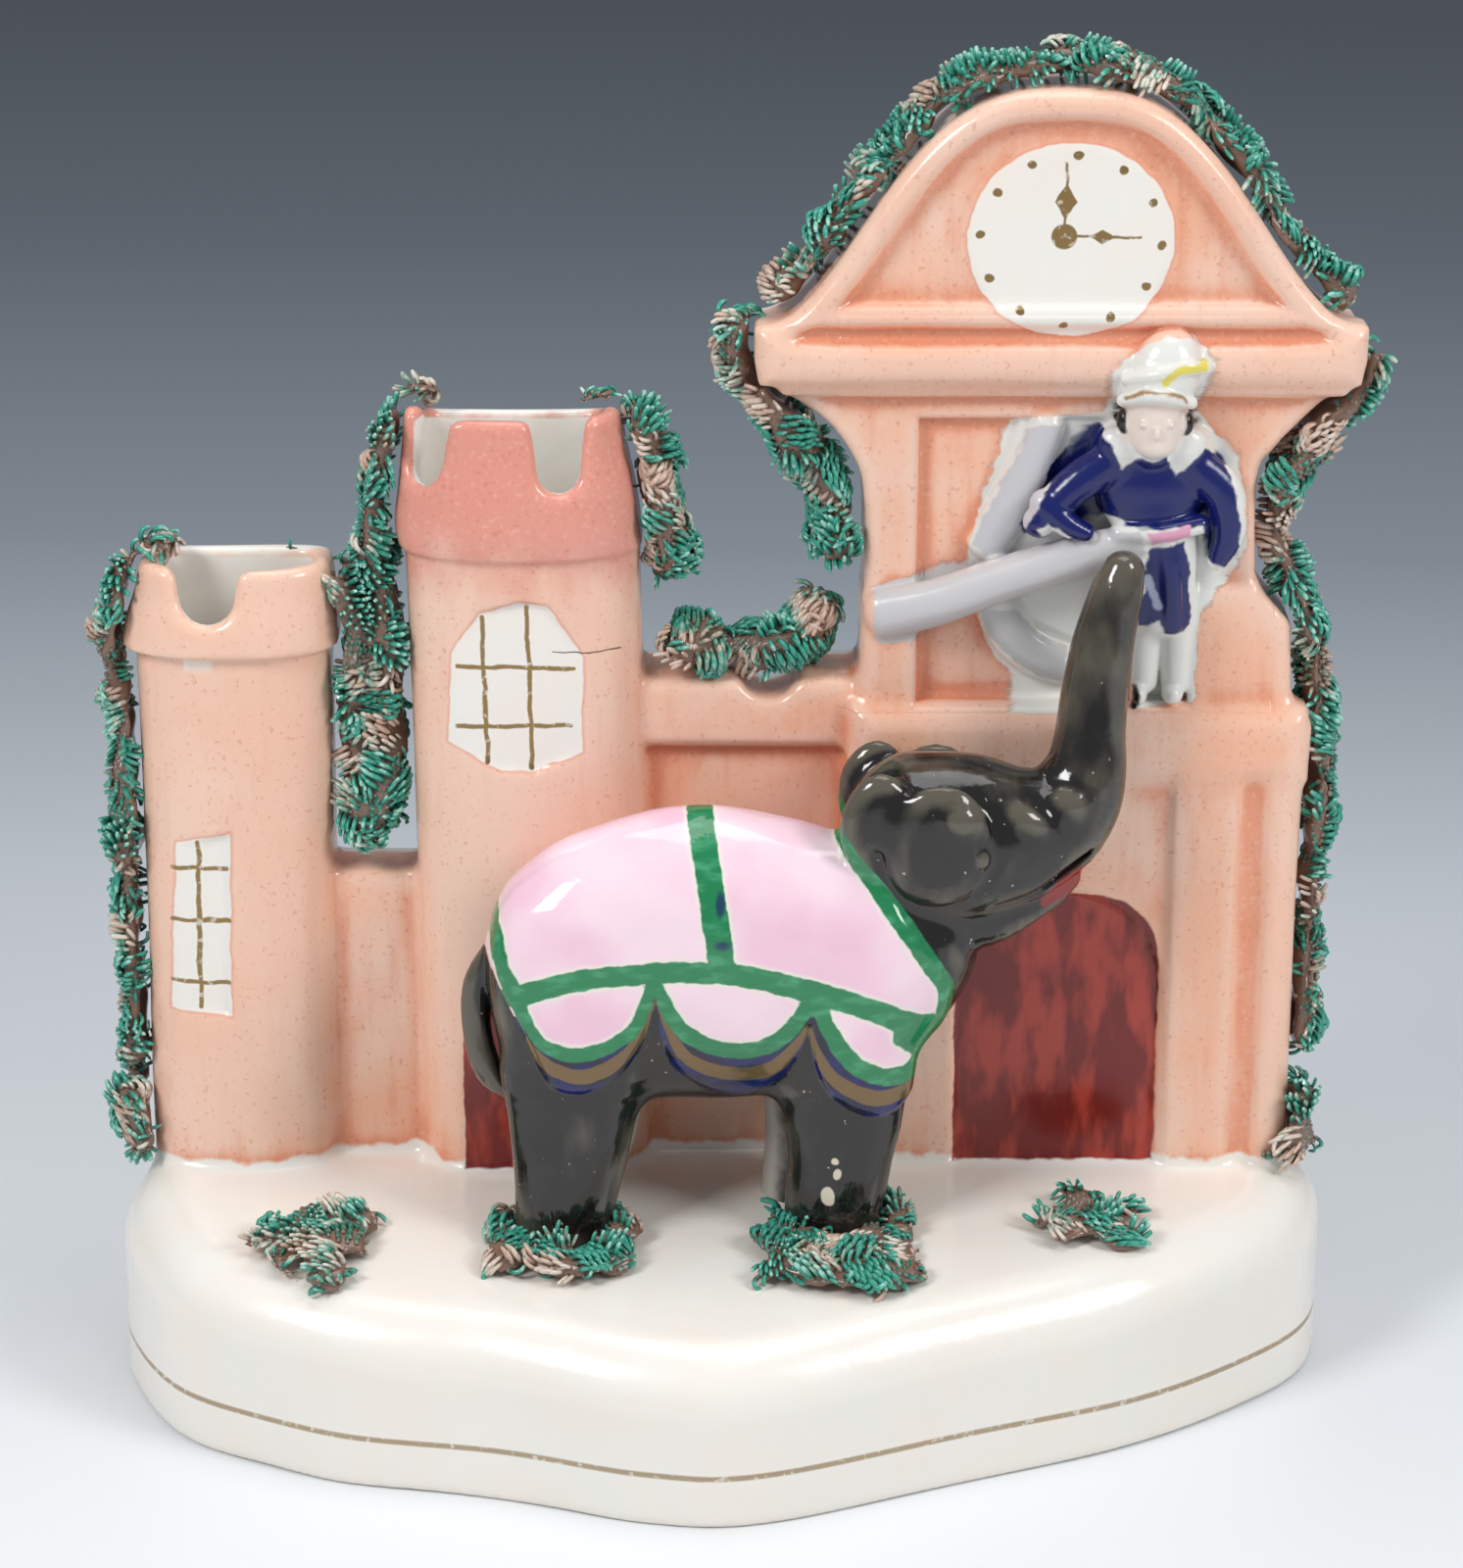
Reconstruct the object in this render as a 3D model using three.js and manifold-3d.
// Pottery elephant figure group: a flat-backed earthenware ornament. An elephant in a caparison
// stands on a low bowed base in front of a toy castle, and reaches its trunk up to a small figure
// in relief on the clock tower. Pads of strained clay stand for leaves along the edges.
//
// Millimetres, +Z up, +X to the right of someone facing the front, which looks towards -Y.
// The origin is on the flat underside, below the middle of the base.

import * as THREE from 'three';
import { mergeVertices } from 'three/addons/utils/BufferGeometryUtils.js';
import Module from 'manifold-3d';

const wasm = await Module();
wasm.setup();

// Main planes and levels
const FIT_GAP = 0.3; // clearance between pieces that were luted together
const BASE_TOP = 24.4; // the base's height where the walls rise from it
const FOOTING = 20; // the walls start this high, inside the base
const WALL_BACK = 26.5; // flat back of the castle
const CLOCK_FRONT = 14; // front of the clock tower's lower storey
const GLAZED_WALL = 2.3; // thickness of the hollow towers' walls

// Base: its outline seen from above, softened by a spline, and its section
const BASE_OUTLINE = [
  [-72, 4], [-64, -10.6], [-46, -20.8], [-27, -25], [-9, -30.9], [4, -30.8],
  [28, -20.8], [48, -11.8], [66, 2.6], [71.3, 14],
  [69, 24.6], [58, 28.6], [0, 29], [-58, 28.6], [-69.5, 24.6], [-73, 15],
].map(([x, y]) => new THREE.Vector3(x, y, 0));
const BASE_SIDES = 40;
const BASE_SHOULDER = 7;
const SHOULDER_STEPS = 3;
const BASE_FOOT = 0.8;
const BASE_SPINE = { reach: 50, y: 8 }; // line under the top that the upper rings draw in to

// Towers: rows of height, left edge, right edge and forward swell, from the footing to the rim
const TOWER_SIDES = 18;
const LEFT_TOWER = {
  front: 12.5, middle: 19.5, back: WALL_BACK, floor: 31, backDip: 0.4,
  rows: [
    [FOOTING, -70.3, -47.8, 0.2], [84, -69.7, -47, 0], [86.4, -70.5, -46.6, 0.7],
    [89.2, -71.3, -46, 1.3], [92.4, -70.8, -46.1, 1.1], [96, -69.6, -46.4, 0.4],
    [98.6, -69, -46.6, 0], [99.4, -68.6, -47, -0.5],
  ],
};
const TALL_TOWER = {
  front: 11, middle: 19, back: WALL_BACK, floor: 31, backDip: 2.4,
  rows: [
    [FOOTING, -37.1, -9.8, 0], [68, -37.4, -10, 0], [98.4, -37.8, -10.6, 0],
    [101, -38.5, -10.3, 0.8], [104, -39, -10.6, 1.4], [108, -38.6, -11.2, 1.1],
    [113, -38, -12.2, 0.3], [116.8, -37.8, -12.7, 0], [117.6, -37.4, -13.1, -0.5],
  ],
};
const BOW_POWER = 2.4; // roundness of a tower's front
const BACK_POWER = 6; // squareness of its flat back
const LEFT_NOTCHES = [{ x: -60.7, y: 12, turn: 0, width: 6.6, bottom: 93.2 }];
const TALL_NOTCHES = [
  { x: -19.8, y: 12, turn: 0.1, width: 5, bottom: 109.2 },
  { x: -35, y: 13.5, turn: -0.95, width: 5.4, bottom: 109.4 },
];
const LEFT_PANE = { outline: [[-66.7, 44.6], [-59.5, 44.2], [-58.9, 67.2], [-65.4, 66]], depth: 13.3 };
const TALL_PANE = {
  outline: [[-33, 79], [-27, 75.8], [-23.2, 75.6], [-17.4, 77.9], [-17.1, 89.6], [-21.3, 95.8],
    [-24.4, 96.3], [-29.1, 94.8], [-32.5, 89.8]],
  depth: 11.9,
};

// Clock tower: edges and levels of its storeys
const CLOCK = {
  left: 14.2, right: 66.8, ledgeLow: 73.5, ledge: 79.8, plinthTop: 94,
  upperLeft: 15.3, upperRight: 60.8, upperFront: 15.7, plinthFront: 14.9, recessFront: 17.2,
  corniceLow: 121.4, corniceTop: 127.2, corniceLeft: 3.1, corniceRight: 71.7, corniceFront: 12.4,
  gableFront: 13.3, hollowFront: 14.8, gableRise: 27.3, rim: 3.6, ogeePower: 1.45,
};
const RECESS = { left: 21.5, right: 53.2, low: 83, high: 116.8 };
const DIAL = { x: 38.2, z: 138, halfWide: 11.8, halfHigh: 11, front: 14.1 };
const GATE = { x: 38.8, half: 12, low: 22, spring: 48, high: 59.4, depth: 0.6 };
const REAR_GATE = { x: -23.4, half: 8.6, low: 22, spring: 38, high: 47.6, depth: 12.1 };

// Curtain walls
const LOW_WALL = { left: -49, right: -36, top: 61, front: 17.5 };
const HIGH_WALL = { left: -11.4, right: 16, top: 86, front: 18, bandLow: 76.8, bandFront: 16 };
const SCOOP = { x: 4.4, radius: 3.4, z: 86.2 };

// Elephant: it stands a little askew, its head end nearer the wall
const ELEPHANT = { y: 2.2, askew: 0.055 };
const LEGS = [
  { x: -20, foot: 5.5, calf: 7.1, top: 8.6, stagger: 0.6 },
  { x: 11.8, foot: 5.8, calf: 6.3, top: 7.8, stagger: -2.4 },
];
const LEG_LEAN = 1.4; // how far a leg's top stands ahead of its foot
const LEG_OUT = 5; // from the elephant's middle plane to the middle of a leg
const LEG_DEEP = 4; // a leg's half depth
const CLOTH = 0.55; // how far the caparison stands proud of the hide

// Clay foliage
const LUMP = { long: 0.2, short: 0.13 };
const GABLE_STOPS = 12;
const PAD_SIDES = 10;

// Glazes
const glaze = (name, color, roughness = 0.25) =>
  new THREE.MeshStandardMaterial({ name, color, roughness, metalness: 0 });
const SALMON = glaze('salmon_glaze', 0xe39a7c);
const BLACK = glaze('black_glaze', 0x2a2622, 0.15);
const LEAF = glaze('leaf_glaze', 0x4c9a86, 0.45);

// Solids from closed geometries, and back

function solidOf(geometry) {
  const bare = geometry.clone();
  bare.deleteAttribute('normal');
  bare.deleteAttribute('uv');
  const merged = mergeVertices(bare, 1e-4);
  return new wasm.Manifold(new wasm.Mesh({
    numProp: 3,
    vertProperties: new Float32Array(merged.attributes.position.array),
    triVerts: new Uint32Array(merged.index.array),
  }));
}

function joined(solids) {
  return solids.reduce((whole, next) => whole.add(next));
}

function geometryOf(solid) {
  const { vertProperties, triVerts } = solid.getMesh();
  const geometry = new THREE.BufferGeometry();
  geometry.setAttribute('position', new THREE.BufferAttribute(vertProperties, 3));
  geometry.setIndex(new THREE.BufferAttribute(triVerts, 1));
  const faceted = geometry.toNonIndexed();
  faceted.computeVertexNormals();
  return faceted;
}

function middleOf(ring) {
  return ring.reduce((sum, p) => sum.add(p), new THREE.Vector3()).divideScalar(ring.length);
}

function signedVolume(points, faces) {
  let sum = 0;
  for (let i = 0; i < faces.length; i += 3) {
    const [a, b, c] = faces.slice(i, i + 3).map((index) => points[index]);
    sum += a.dot(new THREE.Vector3().crossVectors(b, c)) / 6;
  }
  return sum;
}

// A closed body through rings of points, one above the next, each end closed by a fan.
function loft(rings) {
  const around = rings[0].length;
  const last = rings.length - 1;
  const points = rings.flat();
  const faces = [];
  for (let r = 0; r + 1 < rings.length; r++) {
    for (let i = 0; i < around; i++) {
      const a = r * around + i;
      const b = r * around + ((i + 1) % around);
      faces.push(a, b, b + around, a, b + around, a + around);
    }
  }
  const bottomHub = points.push(middleOf(rings[0])) - 1;
  const topHub = points.push(middleOf(rings[last])) - 1;
  for (let i = 0; i < around; i++) {
    const next = (i + 1) % around;
    faces.push(bottomHub, next, i);
    faces.push(topHub, last * around + i, last * around + next);
  }
  if (signedVolume(points, faces) < 0) faces.reverse();
  const geometry = new THREE.BufferGeometry().setFromPoints(points);
  geometry.setIndex(faces);
  return solidOf(geometry);
}

// A closed loop of points moved outwards by a distance.
function offsetLoop(loop, distance) {
  const turn = Math.sign(THREE.ShapeUtils.area(loop));
  return loop.map((point, i) => {
    const before = loop[(i + loop.length - 1) % loop.length];
    const after = loop[(i + 1) % loop.length];
    const into = point.clone().sub(before).normalize();
    const out = after.clone().sub(point).normalize();
    const normal = new THREE.Vector2(into.y + out.y, -into.x - out.x).normalize();
    const miter = Math.max(0.5, normal.dot(new THREE.Vector2(out.y, -out.x)));
    return point.clone().addScaledVector(normal, (turn * distance) / miter);
  });
}

// A slab of the front view's outline, with rounded edges, between two planes across the depth.
function slab(outline, front, back, { edge = 1.2, grow = 0, steps = 1 } = {}) {
  const loop = offsetLoop(outline.map(([x, z]) => new THREE.Vector2(x, z)), grow);
  const geometry = new THREE.ExtrudeGeometry(new THREE.Shape(loop), {
    depth: back - front + 2 * grow - 2 * edge,
    bevelEnabled: edge > 0,
    bevelSize: edge,
    bevelThickness: edge,
    bevelOffset: -edge,
    bevelSegments: steps,
  });
  geometry.rotateX(Math.PI / 2);
  geometry.translate(0, back + grow - edge, 0);
  return solidOf(geometry);
}

function rectangle(left, right, low, high) {
  return [[left, low], [right, low], [right, high], [left, high]];
}

// An upright arch: straight sides to the spring line, then half an ellipse.
function arch({ x, half, low, spring, high }, steps = 12) {
  const outline = [[x - half, low], [x + half, low]];
  for (let i = 0; i <= steps; i++) {
    const angle = (Math.PI * i) / steps;
    outline.push([x + half * Math.cos(angle), spring + (high - spring) * Math.sin(angle)]);
  }
  return outline;
}

function ball([x, y, z], [rx, ry, rz], wide = 12, high = 8, tilt = 0) {
  const geometry = new THREE.SphereGeometry(1, wide, high);
  geometry.rotateX(Math.PI / 2);
  geometry.scale(rx, ry, rz);
  geometry.rotateY(tilt);
  geometry.translate(x, y, z);
  return solidOf(geometry);
}

// A limb along a smooth path. Each stop is x, y, z, half thickness across the path in the front
// view, and half depth. Swell, where given, is a function of place and angle that adds lumps.
function limb(stops, { sides = 10, steps = stops.length * 2, swell = () => 1 } = {}) {
  const path = new THREE.CatmullRomCurve3(stops.map(([x, y, z]) => new THREE.Vector3(x, y, z)));
  const girth = new THREE.CatmullRomCurve3(stops.map((s) => new THREE.Vector3(s[3], s[4], 0)));
  const rings = [];
  for (let i = 0; i <= steps; i++) {
    const t = i / steps;
    const centre = path.getPoint(t);
    const along = path.getTangent(t);
    const size = girth.getPoint(t);
    const across = new THREE.Vector3(-along.z, 0, along.x).normalize();
    const deep = new THREE.Vector3().crossVectors(along, across).normalize();
    const ring = [];
    for (let k = 0; k < sides; k++) {
      const angle = (2 * Math.PI * k) / sides;
      const lump = swell(i, angle);
      ring.push(centre.clone()
        .addScaledVector(across, size.x * lump * Math.cos(angle))
        .addScaledVector(deep, size.y * lump * Math.sin(angle)));
    }
    rings.push(ring);
  }
  return loft(rings);
}

// Base

function baseTopAt(y) {
  const ahead = Math.max(0, CLOCK_FRONT - y);
  return BASE_TOP - 0.055 * ahead - 0.0009 * ahead * ahead;
}

const baseLoop = new THREE.CatmullRomCurve3(BASE_OUTLINE, true).getSpacedPoints(BASE_SIDES)
  .slice(0, -1).map((p) => new THREE.Vector2(p.x, p.y));

// Height of the base's upper surface at a place on it, its soft shoulder included.
function baseSurfaceAt(x, y) {
  const place = new THREE.Vector2(x, y);
  const edge = Math.min(...baseLoop.map((from, i) => {
    const to = baseLoop[(i + 1) % baseLoop.length];
    const side = to.clone().sub(from);
    const share = THREE.MathUtils.clamp(place.clone().sub(from).dot(side) / side.lengthSq(), 0, 1);
    return from.clone().addScaledVector(side, share).distanceTo(place);
  }));
  const short = THREE.MathUtils.clamp(BASE_SHOULDER - edge, 0, BASE_SHOULDER * 0.8);
  return baseTopAt(y) - BASE_SHOULDER + Math.sqrt(BASE_SHOULDER ** 2 - short ** 2);
}

function base(grow = 0) {
  const ringAt = (inset, height) => offsetLoop(baseLoop, grow - inset)
    .map((p) => new THREE.Vector3(p.x, p.y, height(p)));
  const rings = [
    ringAt(BASE_FOOT, () => -grow),
    ringAt(0, () => BASE_FOOT * 1.5),
  ];
  for (let i = 0; i <= SHOULDER_STEPS; i++) {
    const angle = (Math.PI / 2) * (i / SHOULDER_STEPS);
    const inset = BASE_SHOULDER * (1 - Math.cos(angle));
    const drop = BASE_SHOULDER * (1 - Math.sin(angle));
    rings.push(ringAt(inset, (p) => baseTopAt(p.y) - drop + grow));
  }
  for (const draw of [0.7]) {
    rings.push(rings[SHOULDER_STEPS + 2].map((p) => {
      const x = THREE.MathUtils.lerp(p.x, p.x * (BASE_SPINE.reach / 72), draw);
      const y = THREE.MathUtils.lerp(p.y, BASE_SPINE.y, draw);
      return new THREE.Vector3(x, y, baseTopAt(y) + grow);
    }));
  }
  return loft(rings);
}

// Towers

// One ring of a tower: a bowed front half and a squarer back half.
function towerRing(tower, [height, left, right, swell], inset, backDrop = 0) {
  const centre = (left + right) / 2;
  const half = (right - left) / 2 - inset;
  const ring = [];
  for (let i = 0; i < TOWER_SIDES; i++) {
    const angle = (2 * Math.PI * (i + 0.5)) / TOWER_SIDES;
    const across = Math.cos(angle);
    const deep = Math.sin(angle);
    const power = 2 / (deep < 0 ? BOW_POWER : BACK_POWER);
    const reach = deep < 0 ? tower.middle - tower.front + swell - inset
      : tower.back - tower.middle - inset;
    ring.push(new THREE.Vector3(
      centre + half * Math.sign(across) * Math.abs(across) ** power,
      tower.middle + reach * Math.sign(deep) * Math.abs(deep) ** power,
      height - backDrop * Math.max(0, deep),
    ));
  }
  return ring;
}

function towerShell(tower, grow = 0) {
  const last = tower.rows.length - 1;
  return loft(tower.rows.map((row, i) => {
    const raised = i === last ? [row[0] + grow, ...row.slice(1)] : row;
    return towerRing(tower, raised, -grow, i >= last - 1 ? tower.backDip : 0);
  }));
}

function towerBore(tower) {
  const shaft = tower.rows[0];
  const rim = tower.rows.at(-1);
  const upper = tower.rows.filter((row, i) => row[0] > tower.floor && i % 2 === 0 && row !== rim);
  return loft([
    towerRing(tower, shaft.with(0, tower.floor), GLAZED_WALL + 3),
    towerRing(tower, shaft.with(0, tower.floor + 3), GLAZED_WALL),
    ...upper.map((row) => towerRing(tower, row, GLAZED_WALL)),
    towerRing(tower, rim, GLAZED_WALL - 0.7),
    towerRing(tower, rim.with(0, rim[0] + 4), GLAZED_WALL - 0.7),
  ]);
}

function notch({ x, y, turn, width, bottom }) {
  const half = width / 2;
  const top = bottom + 14;
  const corner = width * 0.28;
  const shape = new THREE.Shape();
  shape.moveTo(-half * 1.25, top);
  shape.lineTo(-half, bottom + corner);
  shape.quadraticCurveTo(-half, bottom, -half + corner, bottom);
  shape.lineTo(half - corner, bottom);
  shape.quadraticCurveTo(half, bottom, half, bottom + corner);
  shape.lineTo(half * 1.25, top);
  const geometry = new THREE.ExtrudeGeometry(shape, {
    depth: 9, bevelEnabled: false, curveSegments: 3,
  });
  geometry.rotateX(Math.PI / 2);
  geometry.translate(0, 4.5, 0);
  geometry.rotateZ(turn);
  geometry.translate(x, y, 0);
  return solidOf(geometry);
}

function tower(sizes, cuts) {
  return towerShell(sizes).subtract(joined([towerBore(sizes), ...cuts]));
}

// Clock tower

// Height of the gable's ogee above the cornice, at a distance across.
function ogeeAt(x) {
  const middle = (CLOCK.corniceLeft + CLOCK.corniceRight) / 2;
  const share = Math.abs(x - middle) / ((CLOCK.corniceRight - CLOCK.corniceLeft) / 2);
  return CLOCK.gableRise * Math.cos((Math.PI / 2) * Math.min(1, share) ** CLOCK.ogeePower) ** 2;
}

function ogeeOutline(inset, steps = 22) {
  const left = CLOCK.corniceLeft + inset * 1.6;
  const right = CLOCK.corniceRight - inset * 1.6;
  const outline = [];
  for (let i = 0; i <= steps; i++) {
    const x = THREE.MathUtils.lerp(right, left, i / steps);
    outline.push([x, CLOCK.corniceTop + 0.4 + ogeeAt(x) - inset]);
  }
  return outline;
}

function upperOutline() {
  const { upperLeft, upperRight, corniceLow, corniceLeft, corniceRight, ledge } = CLOCK;
  return [
    [upperLeft, ledge - 4], [upperRight + 0.4, ledge - 4], [upperRight, 97], [upperRight - 0.2, 109.6],
    [upperRight + 1.4, 113], [66, 117.3], [corniceRight - 1.4, corniceLow], [corniceRight - 1.4, 124],
    [corniceLeft + 1.4, 124], [corniceLeft + 1.2, corniceLow], [6.9, 119.2], [11.6, 115.5],
    [upperLeft - 0.7, 110.7], [upperLeft - 0.1, 108],
  ];
}

function clockTowerMass(grow = 0) {
  const { left, right, ledge, ledgeLow, plinthTop, upperRight } = CLOCK;
  const { corniceLow, corniceTop, corniceLeft, corniceRight } = CLOCK;
  const lower = [[left, FOOTING], [right - 0.3, FOOTING], [right, ledge - 4], [right + 0.5, ledge],
    [left + 1.2, ledge], [left, ledge - 2.6]];
  const plinth = [[15.2, ledge - 3], [66.2, ledge - 3], [65.6, 82.4], [65.1, 92.4],
    [upperRight, plinthTop + 3], [15.8, plinthTop + 1]];
  const gable = [[corniceRight - 1, corniceLow + 0.4], [corniceRight, 124], ...ogeeOutline(0),
    [corniceLeft, 124], [corniceLeft + 0.8, corniceLow + 0.4]];
  const shaft = { sides: 10, steps: 1 };
  return joined([
    slab(lower, CLOCK_FRONT, WALL_BACK, { grow }),
    slab(plinth, CLOCK.plinthFront, WALL_BACK, { grow }),
    slab(upperOutline(), CLOCK.upperFront, WALL_BACK, { grow }),
    slab(gable, CLOCK.gableFront, WALL_BACK, { grow, edge: 1.4 }),
    // Ledge over the lower storey
    slab(rectangle(left, right + 0.6, ledgeLow, ledge + 2.6), 12.9, 20, { grow, edge: 2.2 }),
    // Pilaster and corner shafts
    slab(rectangle(51.8, 59.8, BASE_TOP - 3, ledgeLow + 2), 13.3, 20, { grow, edge: 0.6 }),
    limb([[64.4, 15.6, FOOTING, 2.5, 2.6], [64.6, 15.4, ledgeLow + 3, 2.5, 2.6]], shaft),
    limb([[17, 15.6, FOOTING, 2.6, 2.4], [17, 15.6, ledgeLow + 3, 2.6, 2.4]], shaft),
    // Frieze and cornice
    slab(rectangle(corniceLeft + 2.6, corniceRight - 1.6, corniceLow - 1.6, corniceLow + 2), 14.1, 20,
      { grow, edge: 0.8 }),
    slab(rectangle(corniceLeft + 0.2, corniceRight - 0.2, corniceLow, corniceTop), CLOCK.corniceFront,
      20, { grow, edge: 1.5 }),
  ]);
}

function clockTower() {
  const window = slab(rectangle(RECESS.left, RECESS.right, RECESS.low, RECESS.high), 5,
    CLOCK.recessFront, { edge: 0.9 });
  const hollow = ogeeOutline(CLOCK.rim);
  hollow.push([CLOCK.corniceLeft + 10, CLOCK.corniceTop + 1.2],
    [CLOCK.corniceRight - 10, CLOCK.corniceTop + 1.2]);
  const tympanum = slab(hollow, 5, CLOCK.hollowFront, { edge: 0.8 });
  const gate = slab(arch(GATE), 5, CLOCK_FRONT + GATE.depth, { edge: 0.3 });
  const dial = new THREE.CylinderGeometry(1, 0.97, 2, 24);
  dial.scale(DIAL.halfWide, 1, DIAL.halfHigh);
  dial.translate(DIAL.x, DIAL.front + 1, DIAL.z);
  return joined([clockTowerMass().subtract(joined([window, tympanum, gate])), solidOf(dial)]);
}

// Figure in relief, with the beam, the leaning board and the curved strap around it

function reliefFigure() {
  const back = CLOCK.recessFront;
  return joined([
    limb([[17, 15.4, 95.1, 2.6, 2.2], [31, 14.4, 98.8, 2.5, 2.3], [47, 13.4, 103.1, 1.9, 2.1]],
      { sides: 8, steps: 2 }),
    limb([[29.2, 17, 102, 2.6, 1.6], [36.6, 16.6, 116.6, 2.3, 1.6]], { sides: 6, steps: 1 }),
    limb([[30, 17, 95.6, 2.6, 1.5], [33, 17, 91, 2.5, 1.6], [38.6, 16.8, 88.2, 2.4, 1.6]],
      { sides: 6, steps: 3 }),
    slab([[38, 84.6], [43.5, 84.6], [58, 96], [58.4, 101], [50, 113], [42, 112]], back - 0.9, back + 1,
      { edge: 0.5 }),
    // Coat and crossed belt
    ball([48.2, 15.2, 109], [6, 3.5, 6.4], 8, 5),
    limb([[48.4, 15, 106, 4.4, 3.3], [49.3, 14.8, 101, 4.3, 3.1], [49.6, 15, 93, 3.7, 2.5]],
      { sides: 8, steps: 3 }),
    slab(rectangle(44.2, 53.2, 102.6, 104.6), 11.3, back, { edge: 0.7 }),
    // Arms, the near one leaning on the beam
    limb([[43.4, 14.2, 112.4, 2.2, 2.1], [38.6, 13.5, 109, 2.3, 2.2], [34.8, 13.2, 104.9, 2, 1.9],
      [37.4, 12.4, 103.3, 1.6, 1.5], [41.4, 12, 104.2, 1.1, 1.2]], { sides: 6, steps: 5 }),
    limb([[52.6, 14.4, 112, 2.2, 2.1], [56.4, 13.8, 108.6, 2.3, 2.1], [57.2, 13.8, 104.2, 2, 1.9],
      [56.2, 13.4, 100.4, 1.2, 1.3]], { sides: 6, steps: 4 }),
    // Trousers and shoes
    ...[48, 51.6].map((x) => joined([
      limb([[x, 15.6, 94, 1.8, 1.8], [x, 15.6, 85, 1.6, 1.7]], { sides: 6, steps: 1 }),
      ball([x - 0.3, 14.8, 84.2], [1.6, 2.2, 1.3], 6, 4),
    ])),
    // Collar, head and cap with its plume
    ball([48, 13.9, 114], [4.7, 2.6, 2.1], 8, 4),
    ball([48.1, 12.9, 117.1], [3.5, 3.3, 4], 10, 6),
    limb([[48.1, 13.4, 118.6, 4, 3.6], [48.9, 13.2, 122, 4.2, 3.7], [50, 13.2, 125.4, 4, 3.1],
      [50.4, 13.3, 126.8, 2.2, 1.9]], { sides: 8, steps: 4 }),
    ball([52.4, 12.2, 124.4], [2.3, 1.5, 1.7], 6, 4),
  ]);
}

// Castle and base in one

function lowWall(grow = 0) {
  const { left, right, top, front } = LOW_WALL;
  return slab(rectangle(left, right, FOOTING, top), front, WALL_BACK, { grow });
}

function highWall(grow = 0) {
  const { left, right, top, front, bandLow, bandFront } = HIGH_WALL;
  return joined([
    slab(rectangle(left, right, FOOTING, top), front, WALL_BACK, { grow }),
    slab(rectangle(left, right, bandLow, top - 0.6), bandFront, WALL_BACK - 1, { grow, edge: 1 }),
  ]);
}

// The castle's bulk without its recesses and relief, grown where pieces are cut clear of it.
function castleMass(grow) {
  return joined([
    base(grow), clockTowerMass(grow), towerShell(LEFT_TOWER, grow), towerShell(TALL_TOWER, grow),
    lowWall(grow), highWall(grow),
  ]);
}

function castle() {
  const scoop = new THREE.CylinderGeometry(SCOOP.radius, SCOOP.radius, 30, 16);
  scoop.translate(SCOOP.x, 20, SCOOP.z);
  const panes = [LEFT_PANE, TALL_PANE].map(({ outline, depth }) => slab(outline, 5, depth, { edge: 0.3 }));
  const rearGate = slab(arch(REAR_GATE), 5, REAR_GATE.depth, { edge: 0.3 });
  return joined([
    base(),
    tower(LEFT_TOWER, [panes[0], ...LEFT_NOTCHES.map(notch)]),
    tower(TALL_TOWER, [panes[1], rearGate, ...TALL_NOTCHES.map(notch)]),
    lowWall(),
    highWall().subtract(solidOf(scoop)),
    clockTower(),
    reliefFigure(),
  ]);
}

// Elephant

function middleAt(x) {
  return ELEPHANT.y + ELEPHANT.askew * x;
}

// Body: rows of x, underside, back and half width
const BODY_SIDES = 14;
const BODY_ROWS = [
  [-28.6, 53, 58.5, 2.4], [-27.4, 48.5, 63.4, 5.6], [-24.6, 44, 67.4, 7.8], [-19.5, 40.8, 71, 9],
  [-12, 39.4, 73.6, 9.2], [-3, 39, 74.9, 9.2], [6, 39.4, 73.6, 9.1], [13, 41.2, 72.4, 8.9],
  [19.5, 44.4, 71, 8.2], [25, 49, 66.5, 6.4], [28.6, 54, 62, 2.8],
];

function body(proud = 0) {
  return loft(BODY_ROWS.map(([x, low, high, half], i) => {
    const end = i === 0 ? -proud : i === BODY_ROWS.length - 1 ? proud : 0;
    const ring = [];
    for (let k = 0; k < BODY_SIDES; k++) {
      const angle = (2 * Math.PI * k) / BODY_SIDES;
      const across = Math.sign(Math.cos(angle)) * Math.abs(Math.cos(angle)) ** 0.88;
      const up = Math.sign(Math.sin(angle)) * Math.abs(Math.sin(angle)) ** 0.88;
      ring.push(new THREE.Vector3(x + end, middleAt(x) + (half + proud) * across,
        (low + high) / 2 + ((high - low) / 2 + proud) * up));
    }
    return ring;
  }));
}

// The caparison: the body a little larger, kept where the cloth's outline covers it. Each scallop
// of its hem has its two ends, the height of its cusp and its lowest point.
const SCALLOPS = [[-29.5, -11.2, 46, 41.2], [-11.2, 6.2, 53.4, 40.2], [6.2, 21.5, 50, 39.4]];
const SCALLOP_STEPS = 5;

function caparison() {
  const outline = [[-34, 90], [-34, 52]];
  for (const [from, to, cusp, low] of SCALLOPS) {
    for (let i = 0; i <= SCALLOP_STEPS; i++) {
      const share = i / SCALLOP_STEPS;
      const sag = Math.sin(Math.PI * share) ** 0.7;
      outline.push([THREE.MathUtils.lerp(from, to, share), cusp - (cusp - low) * sag]);
    }
  }
  outline.push([22.4, 48], [25.6, 55.5], [14.2, 66.5], [9.5, 90]);
  return body(CLOTH).intersect(slab(outline, -30, 30, { edge: 0 }));
}

const NEAR = -1;
const FAR = 1;

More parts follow.
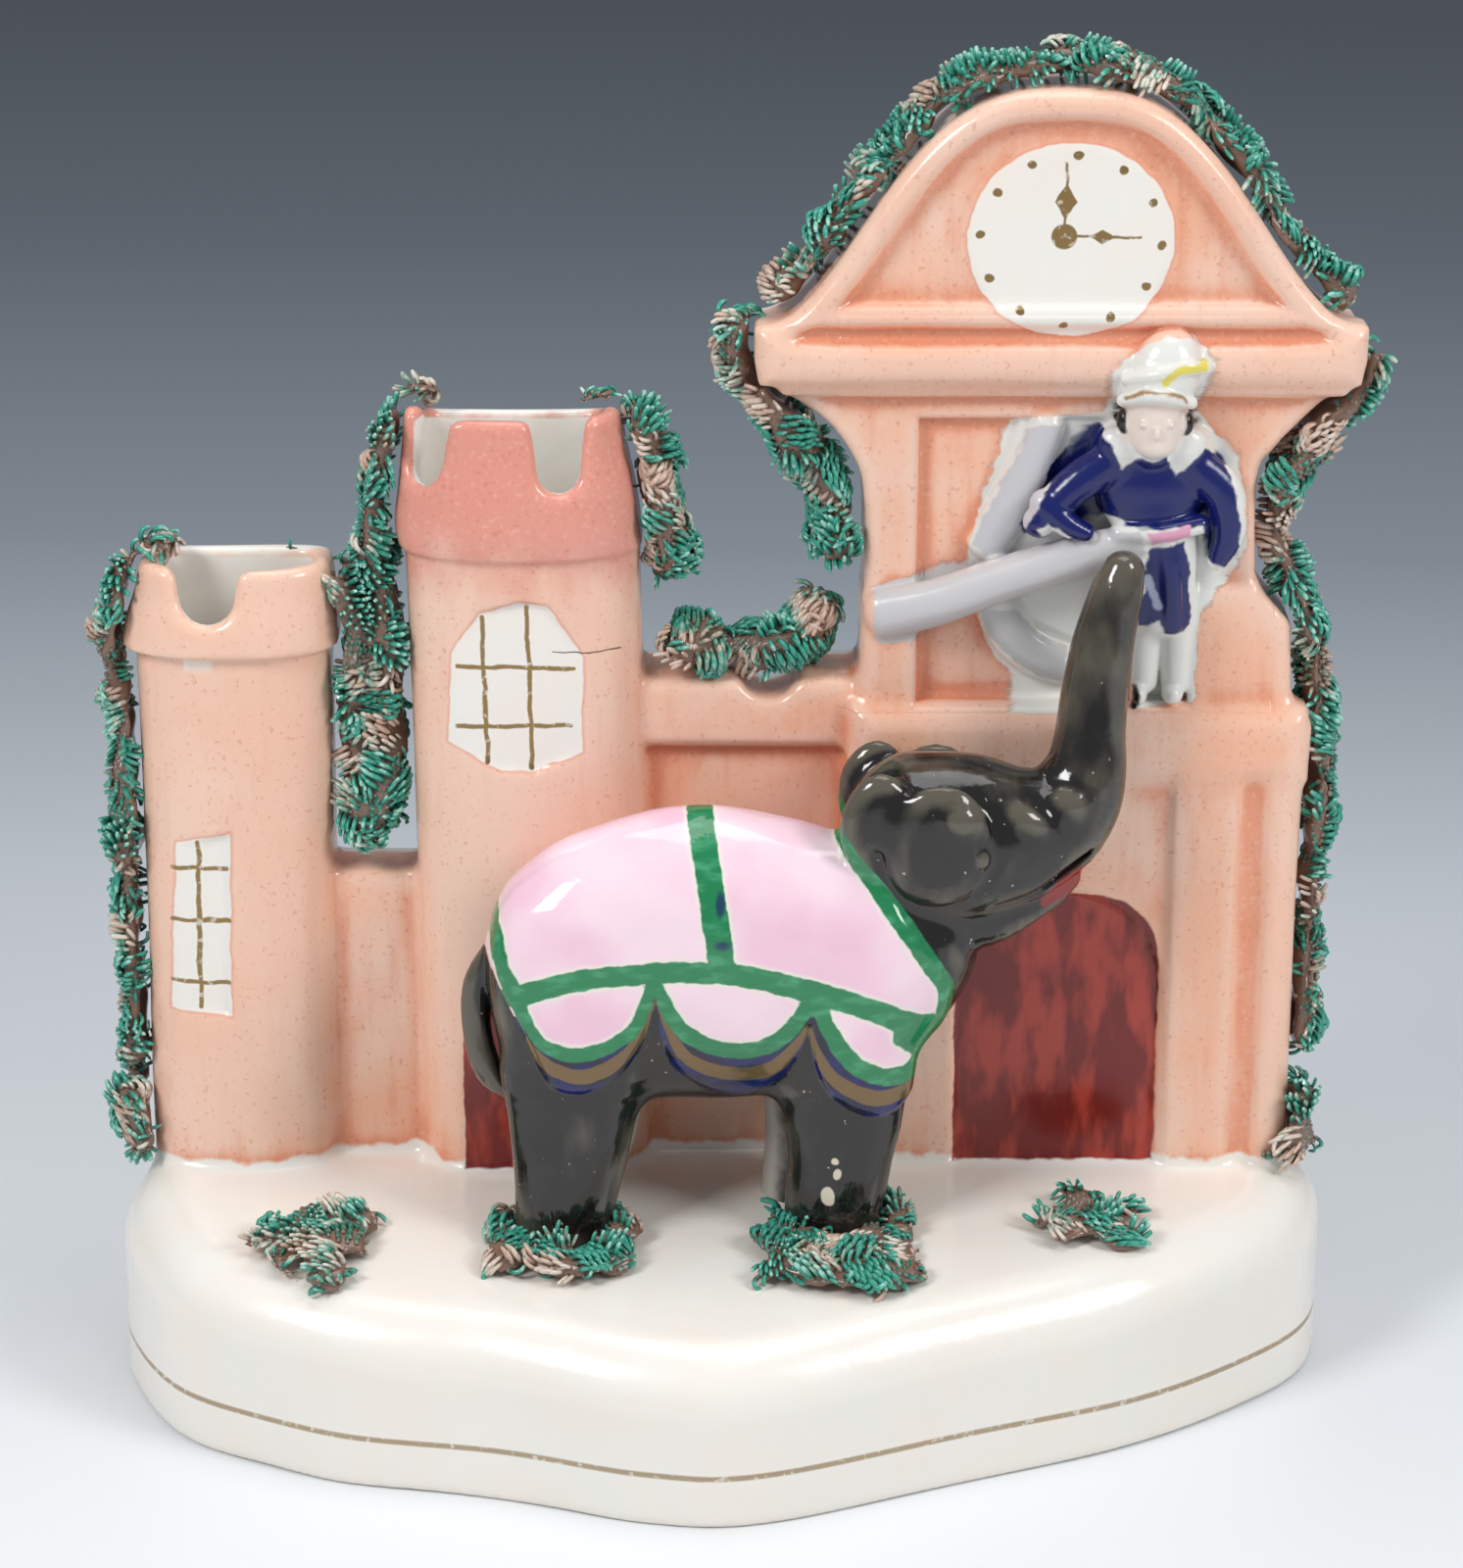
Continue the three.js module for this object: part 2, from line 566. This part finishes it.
// A leg, from below the base's top up into the body.
function leg({ x, foot, calf, top }, side) {
  const y = middleAt(x) + side * LEG_OUT;
  return limb([
    [x, y, FOOTING, foot, LEG_DEEP], [x, y, baseTopAt(y) + 1.6, foot, LEG_DEEP],
    [x + LEG_LEAN * 0.6, y, 32.6, calf, LEG_DEEP - 0.1],
    [x + LEG_LEAN * 0.9, y - side * 0.3, 38.6, (calf + top) / 2, LEG_DEEP],
    [x + LEG_LEAN, y - side * 1.2, 46, top, 4.8], [x + LEG_LEAN, y - side * 2.4, 54, top * 0.8, 4.4],
  ], { sides: 8, steps: 6 });
}

function legs() {
  return joined(LEGS.flatMap((sizes) => [NEAR, FAR].map((side) => (
    leg({ ...sizes, x: sizes.x + (side === FAR ? sizes.stagger : 0) }, side)))));
}

// Head and raised trunk in one sweep, from the neck to the tip
function headAndTrunk() {
  const y = middleAt(30);
  return limb([
    [12, middleAt(12), 61.5, 11.6, 7.6], [18.6, middleAt(18), 67, 12.2, 8.4],
    [25.4, middleAt(25), 70.2, 10.8, 8.2], [31.4, y, 70.6, 8.4, 6.6], [36.4, y + 0.6, 71.8, 6.6, 5.2],
    [40.4, y + 1.4, 76.2, 5.2, 4.6], [42.1, y + 2.4, 82.6, 4.3, 4.1], [42.6, y + 3.2, 89, 3.9, 3.8],
    [43.4, y + 3.7, 95.4, 3.5, 3.4], [44.6, y + 4, 100.8, 2.9, 2.8], [45.4, y + 4.6, 104, 1.7, 1.7],
  ], { sides: 12, steps: 16 });
}

function elephant() {
  const ears = [NEAR, FAR].map((side) => joined([
    ball([24, middleAt(24) + side * 7.2, 69.6], [5.2, 2, 6.4], 8, 5, 0.35),
    ball([21.2, middleAt(21) + side * 6.6, 74], [4.2, 2.2, 3.6], 8, 4),
  ]));
  const brows = [NEAR, FAR].map((side) => (
    ball([31.2, middleAt(31) + side * 5.3, 73.4], [2, 1.4, 1.6], 6, 4)));
  const chest = ball([17, middleAt(17), 56], [8.4, 7.6, 11.5], 12, 6, 0.3);
  const jaw = limb([[25, middleAt(25), 60.6, 4.2, 4.8], [31.6, middleAt(31), 61, 3, 3.6],
    [37, middleAt(36), 63, 1.7, 2.2]], { sides: 8, steps: 4 });
  const lip = ball([37.8, middleAt(38), 65], [2.6, 2.3, 1.5], 8, 4, -0.6);
  const tail = limb([[-27, middleAt(-27) + 1, 58, 1.5, 1.4], [-29.6, middleAt(-27) + 1, 53.6, 1.5, 1.4],
    [-30, middleAt(-27) + 0.8, 48, 1.6, 1.5], [-28.4, middleAt(-27), 42.6, 1.5, 1.4],
    [-26, middleAt(-27), 40, 1, 1]], { sides: 6, steps: 6 });
  return joined([
    body(), caparison(), legs(), headAndTrunk(), ...ears, ...brows, chest, jaw, lip, tail,
  ]).subtract(base(FIT_GAP));
}

// Clay foliage: lumpy pads along the castle's edges, cut clear of what they sit on

function garland(stops, seed) {
  const swell = (i, angle) => 1 + LUMP.long * Math.sin(i * 2.3 + seed + Math.sin(angle + seed))
    + LUMP.short * Math.sin(3 * angle + i * 1.7 + seed);
  return limb(stops, { sides: 6, steps: stops.length, swell });
}

// Stops along an edge: x, z, half thickness, then depth across the wall.
function along(stops, { y = 19.6, deep = 5.2 } = {}) {
  return stops.map(([x, z, half, at = y, reach = deep]) => [x, at, z, half, reach]);
}

function gableStops() {
  const stops = [];
  for (let i = 0; i <= GABLE_STOPS; i++) {
    const x = THREE.MathUtils.lerp(70.3, 5, i / GABLE_STOPS);
    const slope = ogeeAt(x + 0.5) - ogeeAt(x - 0.5);
    const out = new THREE.Vector2(-slope, 1).normalize().multiplyScalar(2);
    stops.push([x + out.x, CLOCK.corniceTop + 0.4 + ogeeAt(x) + out.y, 2.5]);
  }
  return stops;
}

function foliage() {
  return {
    foliage_left_tower: garland(along([
      [-63.6, 100.4, 1.5, 22, 3], [-67.6, 100, 2.6], [-71.4, 96.2, 2.6], [-72.6, 90, 2.5],
      [-71.8, 81, 2.5], [-71.6, 70, 2.4], [-71.8, 56, 2.5], [-71.9, 44, 2.4], [-71.9, 36.4, 2.2],
    ]), 1),
    foliage_left_corner: garland(along([
      [-71.8, 34.6, 2.4], [-71.8, 30, 3.8], [-69.6, 25.4, 4],
    ], { y: 17.5, deep: 5.6 }), 2),
    foliage_between_towers: joined([
      garland(along([[-51.6, 100.2, 1.8, 22, 3], [-46.6, 98.6, 3.1], [-43.8, 91, 3.2], [-43.6, 80, 3.6],
        [-43, 70, 4.6], [-42.4, 64.6, 4.4]], { y: 19.4 }), 3),
      garland(along([[-33, 117.6, 1.8, 23, 3], [-37.2, 117.6, 2.5, 21], [-40.6, 112, 2.6],
        [-41.6, 103, 2.5], [-40.4, 92, 2.6], [-40.2, 80, 2.8], [-41, 70, 3.2]]), 4),
    ]),
    foliage_tall_tower: garland(along([
      [-17, 117.4, 1.8, 23, 3], [-13, 117.6, 2.6], [-9, 112.4, 2.9], [-7.6, 104, 3], [-7, 96.6, 3.4],
    ]), 5),
    foliage_high_wall: garland(along([
      [-7.6, 90.6, 3.4], [-3.4, 88.6, 3.6], [2.4, 87.6, 3.6, 21], [8, 90, 3.8], [11.6, 95, 3.6],
    ]), 6),
    foliage_clock_tower: garland(along([
      [12, 99.8, 2.9], [11.6, 106, 3.4], [8.8, 112.6, 3.4], [4, 118.4, 2.9], [0.6, 123.4, 2.6],
      [0.6, 128.6, 2.4],
    ]), 7),
    foliage_gable: garland(along(gableStops()), 8),
    foliage_right_side: garland(along([
      [73.4, 125.2, 2.4], [72.4, 119.6, 2.8], [67, 114.2, 2.9], [63.4, 107, 2.5], [63.2, 99.4, 2.6],
      [67.4, 94.6, 2.5], [68.4, 84, 2.4], [69.6, 74, 2.3], [69, 60, 2.3], [68.8, 46, 2.3],
      [68.8, 36.6, 2.2],
    ]), 9),
    foliage_right_corner: garland(along([
      [68.8, 34.8, 2.2], [68, 30, 3.8], [65.4, 25.4, 4],
    ], { y: 16.4, deep: 6 }), 10),
  };
}

// Pads on the base, each a low lumpy mound that drapes over the base's surface
function mound(x, y, wide, deep, high, seed) {
  const rings = [[0.94, -3], [1, 0.3], [0.86, 0.8], [0.45, 1]].map(([reach, rise], r) => {
    const ring = [];
    for (let k = 0; k < PAD_SIDES; k++) {
      const angle = (2 * Math.PI * k) / PAD_SIDES;
      const lump = 1 + 0.12 * Math.sin(3 * angle + seed) + 0.08 * Math.sin(5 * angle + 2 * seed + r);
      const px = x + wide * reach * lump * Math.cos(angle);
      const py = y + deep * reach * lump * Math.sin(angle);
      const lift = rise < 0 ? rise : high * rise * (1 + 0.12 * Math.sin(4 * angle + seed * 3));
      ring.push(new THREE.Vector3(px, py, baseSurfaceAt(px, py) + lift));
    }
    return ring;
  });
  return loft(rings);
}

function basePads() {
  const feet = LEGS.flatMap(({ x: near, foot, calf, stagger }) => [NEAR, FAR].map((side) => {
    const x = near + (side === FAR ? stagger : 0);
    const y = middleAt(x) + side * LEG_OUT;
    const deep = LEG_DEEP + FIT_GAP;
    return limb([[x, y, 10, foot + FIT_GAP, deep], [x, y, 25.6, foot + FIT_GAP, deep],
      [x + LEG_LEAN * 0.7, y, 32.6, calf + FIT_GAP, deep]], { sides: 8, steps: 3 });
  }));
  const taken = joined([base(FIT_GAP), ...feet]);
  const pads = {
    foliage_tuft_left: mound(-48.2, -7.6, 8.2, 10, 3.4, 5),
    foliage_tuft_right: mound(41.8, -1.6, 7.4, 8.6, 3.2, 2),
    foliage_hind_feet: mound(-19.4, -5.2, 10.4, 11.8, 3.8, 3),
    foliage_fore_feet: mound(12.8, -7, 11, 14, 3.8, 4),
  };
  return Object.fromEntries(Object.entries(pads).map(([name, pad]) => [name, pad.subtract(taken)]));
}

// Assembly

const group = new THREE.Group();

function place(name, solid, material) {
  const mesh = new THREE.Mesh(geometryOf(solid), material);
  mesh.name = name;
  group.add(mesh);
}

place('castle_on_base', castle(), SALMON);
place('elephant', elephant(), BLACK);
const clearance = castleMass(FIT_GAP);
for (const [name, solid] of Object.entries(foliage())) {
  place(name, solid.subtract(clearance), LEAF);
}
for (const [name, solid] of Object.entries(basePads())) {
  place(name, solid, LEAF);
}

export default group;
